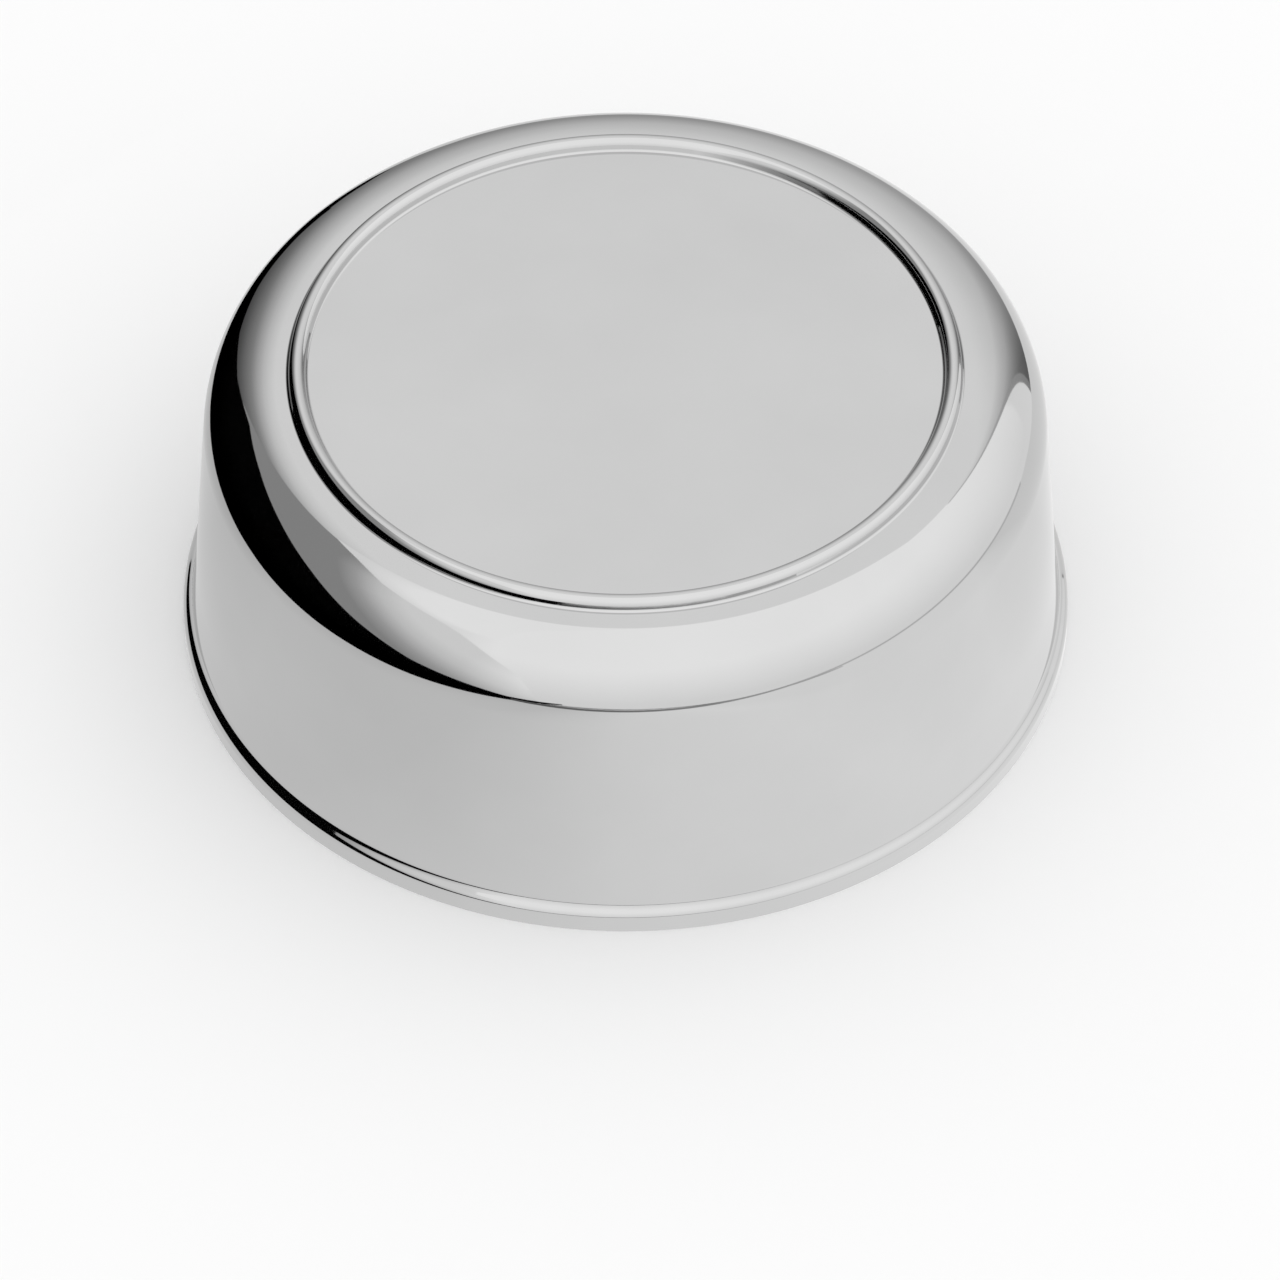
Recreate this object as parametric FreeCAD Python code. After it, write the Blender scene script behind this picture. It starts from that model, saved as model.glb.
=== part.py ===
import FreeCAD, Part
import math
import os

# Axle hub cover: a round cap drawn from one sheet of steel, with a raised ring on its face.
# The origin is the middle of the rim's base, and +Z runs along the axle towards the face.
# Lengths are in millimetres and angles in degrees.

rim_radius = 80.0        # axis to the outside of the skirt that the cover stands on
ledge_width = 1.6        # foot of the wall to the outside of the skirt
ledge_height = 3.4       # base to the ledge's outer corner, before it is rounded
ledge_slope = 42.0       # fall of the ledge towards the skirt, from level
face_height = 59.4       # base to the flat face
wall_taper = 4.4         # lean of the wall from upright, wider towards the rim
flare_height = 11.0      # base to where the wall opens out further
flare_taper = 7.9        # lean of the wall below that height
sheet = 0.8              # thickness of the metal

bead_radius = 57.9       # axis to the crest of the raised ring
bead_width = 4.2         # foot to foot across the raised ring
bead_height = 1.95       # crest of the raised ring above the flat face
bead_slope = 71.0        # rise of the ring's straight flanks, from level

# Each bend is the radius of its hollow side, where the metal turns tightest.
bead_foot_bend = 0.5
shoulder_bend = 13.3
flare_bend = 120.0
wall_foot_bend = 2.2
rim_bend = 1.2

shortest_run = 1e-6      # straight runs below this length are left out between two bends


def section_corners():
    """Corners of the outer face as (radius, height, bend), from the axis out and down to the base."""
    half_width = bead_width / 2
    flank = math.radians(bead_slope)
    foot = half_width - bead_foot_bend * math.tan(flank / 2)
    both_bends = (half_width * math.sin(flank) - bead_height * math.cos(flank)) / (1 - math.cos(flank))
    crest_bend = both_bends - bead_foot_bend - sheet
    wall_foot = rim_radius - ledge_width
    wall_base = ledge_height + ledge_width * math.tan(math.radians(ledge_slope))
    flare = wall_foot - (flare_height - wall_base) * math.tan(math.radians(flare_taper))
    shoulder = flare - (face_height - flare_height) * math.tan(math.radians(wall_taper))
    return [
        (0, face_height, None),
        (bead_radius - foot, face_height, bead_foot_bend),
        (bead_radius, face_height + foot * math.tan(flank), crest_bend),
        (bead_radius + foot, face_height, bead_foot_bend),
        (shoulder, face_height, shoulder_bend),
        (flare, flare_height, flare_bend),
        (wall_foot, wall_base, wall_foot_bend),
        (rim_radius, ledge_height, rim_bend),
        (rim_radius, 0, None),
    ]


def inward(start, end):
    """Unit normal of a straight run of the section, towards the hollow side."""
    along = (end - start).normalize()
    return FreeCAD.Vector(along.z, 0, -along.x)


def bend_points(before, corner, after, radius):
    """First, middle and last point of the arc that rounds one corner."""
    back = (before - corner).normalize()
    onward = (after - corner).normalize()
    half_turn = (math.pi - back.getAngle(onward)) / 2
    reach = radius * math.tan(half_turn)
    rise = radius * (1 / math.cos(half_turn) - 1)
    return corner + back * reach, corner + (back + onward).normalize() * rise, corner + onward * reach


def sheet_face(depth):
    """Edges of the section's face that lies at this depth below the outer face of the sheet."""
    table = section_corners()
    outer = [FreeCAD.Vector(radius, 0, height) for radius, height, bend in table]
    normals = [inward(start, end) for start, end in zip(outer, outer[1:])]
    points = [outer[0] + normals[0] * depth]
    radii = []
    for corner, before, after, (radius, height, bend) in zip(outer[1:], normals, normals[1:], table[1:]):
        points.append(corner + (before + after) * (depth / (1 + before.dot(after))))
        bends_inward = before.cross(after).y > 0
        radii.append(bend + (sheet - depth if bends_inward else depth))
    points.append(outer[-1] + normals[-1] * depth)

    edges = []
    start = points[0]
    for before, corner, after, radius in zip(points, points[1:], points[2:], radii):
        first, middle, last = bend_points(before, corner, after, radius)
        if start.distanceToPoint(first) > shortest_run:
            edges.append(Part.LineSegment(start, first).toShape())
        edges.append(Part.Arc(first, middle, last).toShape())
        start = last
    edges.append(Part.LineSegment(start, points[-1]).toShape())
    return edges, points[0], points[-1]


def hub_cover():
    """The whole cover: its section turned once round the axle."""
    outer_edges, outer_top, outer_base = sheet_face(0)
    inner_edges, inner_top, inner_base = sheet_face(sheet)
    cut_edge = Part.LineSegment(outer_base, inner_base).toShape()
    axis_edge = Part.LineSegment(inner_top, outer_top).toShape()
    loop = Part.__sortEdges__(outer_edges + [cut_edge] + inner_edges + [axis_edge])
    section = Part.Face(Part.Wire(loop))
    return section.revolve(FreeCAD.Vector(0, 0, 0), FreeCAD.Vector(0, 0, 1), 360)


os.makedirs("parts", exist_ok=True)
cover = hub_cover()
cover.exportStep("parts/hub_cover.step")
print("hub_cover", cover.ShapeType, cover.isValid(), round(cover.Volume, 1), cover.optimalBoundingBox())
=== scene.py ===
"""Looks of an axle hub cover: its plated sheet-metal shell on a pale floor, in a plain soft studio."""

import math

import bmesh
import bpy
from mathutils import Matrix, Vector


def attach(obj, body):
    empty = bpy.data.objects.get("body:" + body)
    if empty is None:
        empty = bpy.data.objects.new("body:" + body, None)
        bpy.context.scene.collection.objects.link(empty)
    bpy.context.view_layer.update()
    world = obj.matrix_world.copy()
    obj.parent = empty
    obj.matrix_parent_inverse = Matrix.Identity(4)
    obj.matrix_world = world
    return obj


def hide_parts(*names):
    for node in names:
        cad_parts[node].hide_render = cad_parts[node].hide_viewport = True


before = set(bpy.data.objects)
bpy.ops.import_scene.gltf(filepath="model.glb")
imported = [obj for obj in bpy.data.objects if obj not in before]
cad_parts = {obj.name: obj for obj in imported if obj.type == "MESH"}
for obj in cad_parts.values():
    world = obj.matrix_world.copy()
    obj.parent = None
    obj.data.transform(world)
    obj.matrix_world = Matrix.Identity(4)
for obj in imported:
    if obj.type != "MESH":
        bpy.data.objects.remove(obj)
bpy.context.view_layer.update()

# Sizes of the cover's section, as in the part's source but in metres and degrees.
# Each bend here is the radius of the sheet's outer face.
rim_radius = 0.080
ledge_width = 0.0016
ledge_height = 0.0034
ledge_slope = 42.0
face_height = 0.0594
wall_taper = 4.4
flare_height = 0.011
flare_taper = 7.9
sheet = 0.0008
bead_radius = 0.0579
bead_width = 0.0042
bead_height = 0.00195
bead_slope = 71.0
bead_foot_bend = 0.0005
shoulder_bend = 0.0141
flare_bend = 0.120
wall_foot_bend = 0.0022
rim_bend = 0.002

# How finely the section and the turn about the axle are divided.
turn_steps = 360
bend_step = 4.5
fewest_steps = 4
merge_distance = 1e-7
sharp_angle = 60.0

# The photograph's camera: its distance and height round the rim's middle, and what it aims at.
camera_distance = 1.6
camera_elevation = 45.96
camera_aim = (0.002566, -0.004888, -0.004727)
camera_lens = 248.35
camera_sensor = 36.0

# The stage: the pale floor, and how far from the cover's axis the mirrored cards stand.
floor_reach = 6.0
floor_tone = (0.88, 0.88, 0.88, 1.0)
floor_roughness = 0.9
dark_distance = 2.6
edge_distance = 2.9
back_distance = 3.0
grey_distance = 3.4
line_height = 0.014
band_height = 0.001
band_inner = 0.95
band_outer = 1.05

# The room: how much brighter its bright part is, and how much of that the part overhead has.
brighter = 0.22
overhead = 0.9

# Height of the shoulder, from which the far cards' angles are measured.
shoulder_level = 0.055


class Socket:
    """An output of a shader node that takes part in Python sums."""

    def __init__(self, shader, output):
        self.shader = shader
        self.output = output

    def __add__(self, other):
        return self.shader.sum("ADD", self, other)

    def __radd__(self, other):
        return self.shader.sum("ADD", other, self)

    def __sub__(self, other):
        return self.shader.sum("SUBTRACT", self, other)

    def __rsub__(self, other):
        return self.shader.sum("SUBTRACT", other, self)

    def __mul__(self, other):
        return self.shader.sum("MULTIPLY", self, other)

    def __rmul__(self, other):
        return self.shader.sum("MULTIPLY", other, self)


class Shader:
    """The nodes of one material or of the world."""

    def __init__(self, owner):
        owner.use_nodes = True
        self.tree = owner.node_tree
        self.tree.nodes.clear()

    def node(self, kind, settings=None, stops=None, **sockets):
        """Adds a node, sets its settings and ramp stops, then its sockets by name or by place."""
        made = self.tree.nodes.new("ShaderNode" + kind)
        for name, value in (settings or {}).items():
            setattr(made, name, value)
        if stops:
            ramp = made.color_ramp.elements
            while len(ramp) < len(stops):
                ramp.new(0.5)
            for element, (place, tone) in zip(ramp, stops):
                element.position = place
                element.color = (tone, tone, tone, 1.0)
        for name, value in sockets.items():
            key = int(name[1:]) if name[1:].isdigit() else name.replace("_", " ")
            socket = made.inputs[key]
            if isinstance(value, Socket):
                self.tree.links.new(value.output, socket)
            else:
                socket.default_value = value
        return made

    def value(self, output, kind, settings=None, stops=None, **sockets):
        """Adds a node and gives one of its outputs."""
        return Socket(self, self.node(kind, settings, stops, **sockets).outputs[output])

    def sum(self, operation, first, second):
        """One step of arithmetic on two numbers."""
        return self.value("Value", "Math", {"operation": operation}, _0=first, _1=second)

    def noise(self, place, scale, detail):
        """Soft random spots, so many to the metre."""
        return self.value("Fac", "TexNoise", Vector=place, Scale=scale, Detail=detail)

    def along(self, direction, source="Object"):
        """How far a place, or a look into the world, lies along a direction."""
        place = self.value(source, "TexCoord")
        return self.value("Value", "VectorMath", {"operation": "DOT_PRODUCT"}, _0=place, _1=direction)

    def ramp(self, direction, start, end, stops):
        """A tone that changes along a direction, between two distances from the origin."""
        share = (self.along(direction) - start) * (1.0 / (end - start))
        return self.value("Color", "ValToRGB", stops=stops, Fac=share)

    def product(self, first, second):
        """Two tones multiplied."""
        settings = {"data_type": "RGBA", "blend_type": "MULTIPLY"}
        return self.value(2, "Mix", settings, _0=1.0, _6=first, _7=second)

    def surface(self, node, output="OutputMaterial"):
        """Ends the nodes with this one."""
        self.node(output, Surface=Socket(self, node.outputs[0]))


class SectionPen:
    """Draws the cover's section from the axle outwards, as a chain of edges in the XZ plane."""

    def __init__(self, mesh, start):
        self.mesh = mesh
        self.tip = mesh.verts.new(start)
        self.heading = 0.0

    def towards(self, angle):
        """The direction at this angle, in degrees, from straight out and turning down."""
        return Vector((math.cos(math.radians(angle)), 0.0, -math.sin(math.radians(angle))))

    def run(self, length):
        """Goes straight on."""
        made = bmesh.ops.extrude_vert_indiv(self.mesh, verts=[self.tip])
        self.tip = made["verts"][0]
        self.tip.co += self.towards(self.heading) * length

    def bend(self, angle, radius):
        """Turns on an arc: down for a positive angle, up for a negative one."""
        side = self.towards(self.heading + math.copysign(90.0, angle))
        made = bmesh.ops.spin(self.mesh, geom=[self.tip], cent=self.tip.co + side * radius,
                              axis=(0.0, 1.0, 0.0), angle=math.radians(angle),
                              steps=max(fewest_steps, math.ceil(abs(angle) / bend_step)), use_duplicate=False)
        self.tip = made["geom_last"][0]
        self.heading += angle


def slope(angle):
    """Rise over run at an angle in degrees."""
    return math.tan(math.radians(angle))


def draw_section(mesh):
    """The outer face's line from the middle of the face to the base of the skirt."""
    half = bead_width / 2
    across = math.sin(math.radians(bead_slope))
    along = math.cos(math.radians(bead_slope))
    both_bends = (half * across - bead_height * along) / (1 - along)
    flank = (half - both_bends * across) / along

    wall_foot = rim_radius - ledge_width
    wall_base = ledge_height + ledge_width * slope(ledge_slope)
    flare = wall_foot - (flare_height - wall_base) * slope(flare_taper)
    shoulder = flare - (face_height - flare_height) * slope(wall_taper)
    upper_wall = (face_height - flare_height) / math.cos(math.radians(wall_taper))
    lower_wall = (flare_height - wall_base) / math.cos(math.radians(flare_taper))
    ledge = ledge_width / math.cos(math.radians(ledge_slope))

    shoulder_turn = 90.0 - wall_taper
    flare_turn = flare_taper - wall_taper
    foot_turn = 90.0 - flare_taper - ledge_slope
    rim_turn = 90.0 - ledge_slope
    shoulder_reach = shoulder_bend * slope(shoulder_turn / 2)
    flare_reach = flare_bend * slope(flare_turn / 2)
    foot_reach = wall_foot_bend * slope(foot_turn / 2)
    rim_reach = rim_bend * slope(rim_turn / 2)

    pen = SectionPen(mesh, (0.0, 0.0, face_height))
    pen.run(bead_radius - half)
    pen.bend(-bead_slope, bead_foot_bend)
    pen.run(flank)
    pen.bend(2 * bead_slope, both_bends - bead_foot_bend)
    pen.run(flank)
    pen.bend(-bead_slope, bead_foot_bend)
    pen.run(shoulder - shoulder_reach - bead_radius - half)
    pen.bend(shoulder_turn, shoulder_bend)
    pen.run(upper_wall - shoulder_reach - flare_reach)
    pen.bend(-flare_turn, flare_bend)
    pen.run(lower_wall - flare_reach - foot_reach)
    pen.bend(-foot_turn, wall_foot_bend)
    pen.run(ledge - foot_reach - rim_reach)
    pen.bend(rim_turn, rim_bend)
    pen.run(ledge_height - rim_reach)


def make_piece(name, mesh, *materials):
    """An object at the origin from a finished bmesh."""
    data = bpy.data.meshes.new(name)
    mesh.to_mesh(data)
    mesh.free()
    for material in materials:
        data.materials.append(material)
    piece = bpy.data.objects.new(name, data)
    bpy.context.scene.collection.objects.link(piece)
    return piece


def polished_chrome():
    """The bright plating outside: a mirror with faint haze, polishing marks and the sheet's slight waves."""
    material = bpy.data.materials.new("polished_chrome")
    shader = Shader(material)
    place = shader.value("Object", "TexCoord")
    haze = shader.noise(place, scale=45.0, detail=4.0)
    waves = shader.noise(place, scale=38.0, detail=1.0)
    flat = shader.value("Vector", "VectorMath", {"operation": "MULTIPLY"}, _0=place, _1=(1.0, 1.0, 0.0))
    reach = shader.value("Value", "VectorMath", {"operation": "LENGTH"}, _0=flat)
    rings = shader.value("Fac", "TexNoise", {"noise_dimensions": "1D"}, W=reach, Scale=2600.0, Detail=2.0)
    bump = shader.value("Normal", "Bump", Strength=0.25, Distance=0.00006, Height=waves + rings * 0.004)
    tint = shader.value("Color", "ValToRGB", stops=[(0.3, 0.592), (0.7, 0.612)], Fac=haze)
    shader.surface(shader.node("BsdfPrincipled", Base_Color=tint, Metallic=1.0,
                               Roughness=0.02 + haze * 0.035 + rings * 0.01, Normal=bump))
    return material


def dull_plating():
    """The inside of the sheet, which the plating only dusts: grey, satin and a little blotched."""
    material = bpy.data.materials.new("dull_plating")
    shader = Shader(material)
    place = shader.value("Object", "TexCoord")
    blotches = shader.noise(place, scale=60.0, detail=6.0)
    grain = shader.noise(place, scale=1800.0, detail=2.0)
    bump = shader.value("Normal", "Bump", Strength=0.3, Distance=0.00004, Height=grain)
    tint = shader.value("Color", "ValToRGB", stops=[(0.3, 0.42), (0.75, 0.54)], Fac=blotches)
    shader.surface(shader.node("BsdfPrincipled", Base_Color=tint, Metallic=1.0,
                               Roughness=0.3 + blotches * 0.16, Normal=bump))
    return material


def make_cover():
    """The shell: its section turned about the axle, then given the sheet's thickness inwards."""
    mesh = bmesh.new()
    draw_section(mesh)
    bmesh.ops.spin(mesh, geom=mesh.verts[:] + mesh.edges[:], cent=(0.0, 0.0, 0.0), axis=(0.0, 0.0, 1.0),
                   angle=2 * math.pi, steps=turn_steps, use_merge=True, use_duplicate=False)
    bmesh.ops.remove_doubles(mesh, verts=mesh.verts[:], dist=merge_distance)
    bmesh.ops.recalc_face_normals(mesh, faces=mesh.faces[:])
    outside = set(mesh.faces)
    bmesh.ops.solidify(mesh, geom=mesh.faces[:], thickness=sheet)
    for face in mesh.faces:
        face.smooth = True
        face.material_index = 0 if face in outside else 1
    for edge in mesh.edges:
        edge.smooth = edge.calc_face_angle(0.0) < math.radians(sharp_angle)
    cover = make_piece("cover_shell", mesh, polished_chrome(), dull_plating())
    cover.modifiers.new("true_normals", "WEIGHTED_NORMAL").keep_sharp = True
    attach(cover, "root")
    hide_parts("hub_cover")


def make_floor():
    """A wide pale floor under the cover. The metal mirrors the glowing sheet that lies on it instead, whose
    tones are painted light and shade.
    """
    material = bpy.data.materials.new("pale_floor")
    shader = Shader(material)
    shader.surface(shader.node("BsdfPrincipled", Base_Color=floor_tone, Roughness=floor_roughness))
    mesh = bmesh.new()
    bmesh.ops.create_grid(mesh, x_segments=1, y_segments=1, size=floor_reach)
    floor = make_piece("floor", mesh, material)
    floor.visible_glossy = False


def black():
    """A stage surface that gives no light."""
    material = bpy.data.materials.new("dark_card")
    shader = Shader(material)
    shader.surface(shader.node("Emission", Color=(0.0, 0.0, 0.0, 1.0)))
    return material


def glow(name, strength, *ramps):
    """A stage surface that shines with the product of some ramps, each (direction, start, end, stops)."""
    material = bpy.data.materials.new(name)
    shader = Shader(material)
    tone = shader.ramp(*ramps[0])
    for ramp in ramps[1:]:
        tone = shader.product(tone, shader.ramp(*ramp))
    shader.surface(shader.node("Emission", Color=tone, Strength=strength))
    return material


def show_in_metal(thing):
    """Keeps a stage surface for the metal's reflections alone."""
    thing.visible_camera = False
    thing.visible_diffuse = False
    thing.visible_transmission = False
    thing.visible_shadow = False


def make_sheet():
    """The glowing sheet under the cover, which ends close by on the left; its glow is painted light, with
    painted shade towards the left and the back.
    """
    outline = [
        (-0.150, -0.600), (0.430, -0.600), (0.430, 0.200), (0.0, 0.240), (-0.060, 0.260), (-0.075, 0.137),
        (-0.091, 0.124), (-0.107, 0.109), (-0.123, 0.093), (-0.138, 0.075), (-0.150, 0.056), (-0.160, 0.030),
        (-0.168, -0.006), (-0.160, -0.099), (-0.150, -0.154)]
    mesh = bmesh.new()
    mesh.faces.new([mesh.verts.new((x, y, 0.0)) for x, y in outline])
    across = ((1.0, 0.0, 0.0), -0.2, 0.2, [
        (0.0, 0.62), (0.25, 0.74), (0.33, 0.755), (0.5, 0.92), (0.67, 1.0), (0.75, 0.97)])
    depth = ((0.0, 1.0, 0.0), -0.2, 0.2, [(0.43, 1.0), (0.54, 0.86)])
    # The sheet glows instead of being lit: painted light, darker to the left and the back as painted shade.
    show_in_metal(make_piece("sheet", mesh, glow("sheet_painted_light", 1.04, across, depth)))


def make_card(name, rows, material):
    """An upright card along a line of points; each row is (x, y, lowest, highest) in metres."""
    mesh = bmesh.new()
    feet = [mesh.verts.new((x, y, low)) for x, y, low, high in rows]
    line = [mesh.edges.new(pair) for pair in zip(feet, feet[1:])]
    made = bmesh.ops.extrude_edge_only(mesh, edges=line)
    for top in made["geom"]:
        if isinstance(top, bmesh.types.BMVert):
            nearest = min(rows, key=lambda row: (Vector(row[:3]) - top.co).length)
            top.co.z = nearest[3]
    show_in_metal(make_piece(name, mesh, material))


def on_floor(rows):
    """Rows of a card that stands on the floor, from (x, y, highest)."""
    return [(x, y, 0.0, high) for x, y, high in rows]


def far_rows(distance, lowest, rows):
    """Rows of a far card from (azimuth, highest) as the shoulder sees them, azimuth from right by front."""
    placed = []
    for azimuth, highest in rows:
        angle = math.radians(azimuth)
        levels = [shoulder_level + distance * slope(rise) for rise in (lowest, highest)]
        placed.append((distance * math.cos(angle), -distance * math.sin(angle), *levels))
    return placed


def make_front_line():
    """A low glowing strip in front and at the right, painted shade that is darker on the left, for the thin
    dark line under the shoulder.
    """
    path = [
        (-0.155, -0.330), (0.160, -0.330), (0.240, -0.310), (0.310, -0.260), (0.360, -0.180), (0.385, -0.080),
        (0.385, 0.020), (0.360, 0.120)]
    # The strip's glow is painted shade, darker towards the left.
    line = glow("floor_line", 1.0, ((1.0, 0.0, 0.0), -0.155, 0.30, [
        (0.0, 0.10), (0.3, 0.20), (0.6, 0.36), (1.0, 0.66)]))
    make_card("front_line", on_floor([(x, y, line_height) for x, y in path]), line)


def make_front_band():
    """A grey band of painted shade that lies far out on the sheet in front, glowing darkest on the left and
    fading to the right.
    """
    # The band's glow is painted shade, darkest on the left.
    grey = glow("front_band_painted_shade", 1.0, ((1.0, 0.0, 0.0), -0.15, 0.28, [
        (0.0, 0.05), (0.35, 0.15), (0.7, 0.28), (1.0, 0.60)]))
    middle = [
        (-0.148, -0.446), (-0.100, -0.470), (-0.050, -0.485), (0.0, -0.490), (0.050, -0.485), (0.100, -0.467),
        (0.150, -0.436), (0.190, -0.398), (0.225, -0.345), (0.250, -0.290), (0.265, -0.240)]
    mesh = bmesh.new()
    inner = [mesh.verts.new((x * band_inner, y * band_inner, band_height)) for x, y in middle]
    line = [mesh.edges.new(pair) for pair in zip(inner, inner[1:])]
    made = bmesh.ops.extrude_edge_only(mesh, edges=line)
    outer = [vert for vert in made["geom"] if isinstance(vert, bmesh.types.BMVert)]
    spread = band_outer / band_inner
    bmesh.ops.scale(mesh, vec=(spread, spread, 1.0), verts=outer)
    show_in_metal(make_piece("front_band", mesh, grey))


def make_grey_card():
    """The glowing card on the left, painted light and shade: grey behind and low down, lighter towards its
    top and its front end.
    """
    rise = ((-0.25, 1.0, -0.787), -3.775, -1.375, [
        (0.0, 0.95), (0.146, 0.90), (0.367, 0.80), (0.54, 0.65), (0.69, 0.50), (0.92, 0.345)])
    front = ((1.0, 0.0, 0.0), -4.0, 0.0, [(0.45, 0.80), (0.50, 0.84), (0.66, 1.0)])
    make_card("left_grey", far_rows(grey_distance, lowest=-20.0, rows=[
        (110.5, -2.0), (113.0, 12.0), (116.0, 24.0), (118.0, 28.5),
        (121.0, 33.5), (126.0, 40.0), (131.0, 45.5), (136.0, 50.0),
        (141.0, 53.5), (146.0, 56.3), (151.0, 58.3), (156.0, 59.7),
        (166.0, 61.0), (176.0, 61.3), (196.0, 60.0), (216.0, 58.5),
        # The card's glow is painted light, with painted shade low down and behind.
        (224.0, 56.0), (232.0, 54.0)]), glow("left_card_painted_light", 1.25, rise, front))


def make_back_card():
    """The glowing card behind, painted light and shade: light at the top, painted shade towards the floor and
    at the lower corners.
    """
    rise = ((0.0, 0.0, 1.0), -0.5, 4.5, [
        (0.026, 0.46), (0.11, 0.55), (0.27, 0.73), (0.55, 0.90), (0.70, 1.0)])
    left = ((1.0, 0.0, 0.39), -2.5, 2.5, [
        (0.15, 0.15), (0.20, 0.26), (0.27, 0.39), (0.34, 0.61), (0.42, 0.80), (0.49, 0.90), (0.60, 1.0)])
    right = ((1.0, 0.0, -0.25), -2.5, 2.5, [(0.73, 1.0), (0.82, 0.78), (0.90, 0.34)])
    top = 68.0
    middle = 270.0
    spread = 13.0
    rows = [(azimuth, top - ((azimuth - middle) / spread) ** 2) for azimuth in range(224, 318, 6)]
    # The back card's glow is painted light: painted shade towards the floor and at the lower corners.
    graded = glow("back_card", 1.0, rise, left, right)
    make_card("back", far_rows(back_distance, lowest=-30.0, rows=rows), graded)


def make_cards():
    """What the metal mirrors round the sheet: cards on the left and behind, a line and a band in front."""
    dark = black()
    make_card("left_near", on_floor([
        (-0.150, -0.600, 0.012), (-0.151, -0.251, 0.028), (-0.150, -0.154, 0.052),
        (-0.160, -0.099, 0.077), (-0.164, -0.052, 0.097), (-0.168, -0.006, 0.114),
        (-0.160, 0.030, 0.120), (-0.150, 0.056, 0.116), (-0.138, 0.073, 0.084),
        (-0.123, 0.089, 0.055), (-0.107, 0.104, 0.040), (-0.093, 0.119, 0.035),
        (-0.080, 0.132, 0.040)]), dark)
    make_card("left_dark", far_rows(dark_distance, lowest=-35.0, rows=[
        (108.0, -8.0), (124.6, -3.0), (141.5, 1.5), (158.6, 11.8),
        (176.6, 22.5), (195.0, 28.5), (211.0, 30.5), (222.0, 29.0),
        (226.6, 11.5), (234.0, -3.3), (242.4, -10.5), (249.0, -12.3),
        (255.5, -13.5), (258.0, -17.0)]), dark)
    make_grey_card()
    make_back_card()
    # The back card's edge glows as painted light, with painted shade towards the floor.
    edge = glow("card_edge", 1.0, ((0.0, 0.0, 1.0), -0.5, 3.5, [(0.0, 0.30), (0.4, 0.42), (1.0, 0.75)]))
    rows = [(313.9, 50.0), (315.6, 50.0)]
    make_card("back_edge", far_rows(edge_distance, lowest=-12.0, rows=rows), edge)
    make_front_line()
    make_front_band()


def make_room():
    """White all round, brighter overhead, in front and at the right, where the soft light comes from."""
    world = bpy.data.worlds.new("white_room")
    bpy.context.scene.world = world
    shader = Shader(world)
    across = shader.along((1.0, 0.0, 0.0), "Generated")
    height = shader.along((0.0, 0.0, 1.0), "Generated")
    soft = shader.value("Result", "MapRange", Value=across, From_Min=-0.5, From_Max=0.0,
                        To_Min=1.2, To_Max=0.25)
    towards_light = shader.along((1.6, -1.9, 1.0), "Generated")
    lit = shader.value("Result", "MapRange", Value=towards_light, From_Min=0.19, From_Max=soft)
    fade = shader.value("Result", "MapRange", Value=height, From_Min=0.0, From_Max=0.75)
    above = shader.value("Result", "MapRange", Value=height, From_Min=0.86, From_Max=0.91)
    bright = shader.sum("MAXIMUM", lit * fade, above * overhead)
    shader.surface(shader.node("Background", Strength=1.0 + bright * brighter, Color=(1.0, 1.0, 1.0, 1.0)),
                   "OutputWorld")


def make_camera():
    """The camera at the photograph's viewing angle."""
    lens = bpy.data.cameras.new("camera")
    lens.lens = camera_lens
    lens.sensor_width = camera_sensor
    camera = bpy.data.objects.new("camera", lens)
    angle = math.radians(camera_elevation)
    camera.location = (0.0, -camera_distance * math.cos(angle), camera_distance * math.sin(angle))
    camera.rotation_euler = (Vector(camera_aim) - camera.location).to_track_quat("-Z", "Y").to_euler()
    bpy.context.scene.collection.objects.link(camera)
    bpy.context.scene.camera = camera


make_cover()
make_floor()
make_sheet()
make_cards()
make_room()
make_camera()
bpy.context.scene.view_settings.view_transform = "Standard"
